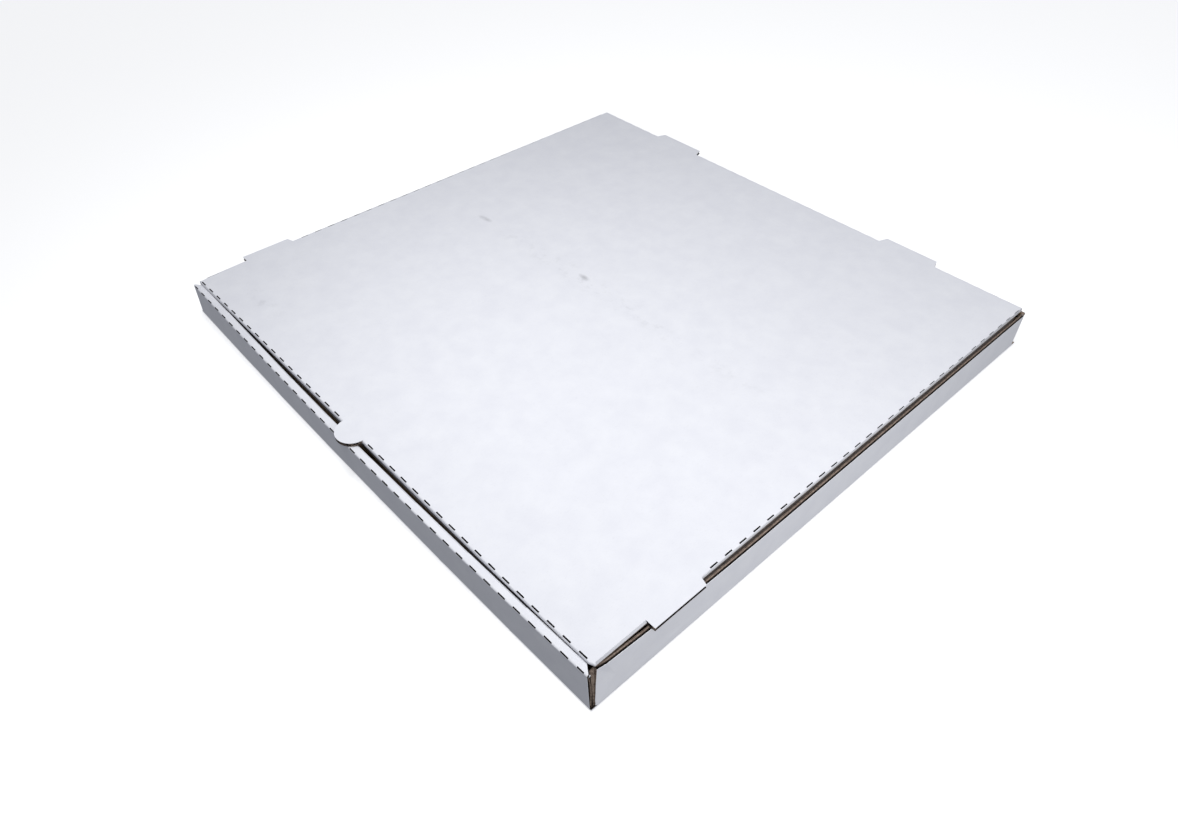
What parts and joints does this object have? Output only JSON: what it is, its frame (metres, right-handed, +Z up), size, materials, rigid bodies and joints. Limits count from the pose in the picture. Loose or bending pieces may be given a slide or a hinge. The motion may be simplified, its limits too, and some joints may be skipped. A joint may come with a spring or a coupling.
{
  "type": "pizza box",
  "caption": "Flat square pizza box folded from white corrugated board, with a hinged tuck-in lid, a thumb tab and a front wall rolled over on itself.",
  "frame": {"origin": "on the surface that the box stands on, below the middle of its bounding box", "axes": "+X along the front wall to the right, +Y from the front wall to the hinge at the back, +Z up"},
  "size_m": [0.4778, 0.4702, 0.034],
  "materials": {
    "tray_board": "matte white-lined corrugated board",
    "lid_board": "matte white-lined corrugated board"
  },
  "bodies": {
    "tray": {"tray": "tray_board"},
    "lid": {"lid": "lid_board"}
  },
  "joints": [
    {"name": "lid_hinge", "type": "hinge", "parent": "tray", "child": "lid", "pos_m": [0, 0.2278, 0.03105], "axis": [-1, 0, 0], "range_deg": [0, 180]}
  ]
}
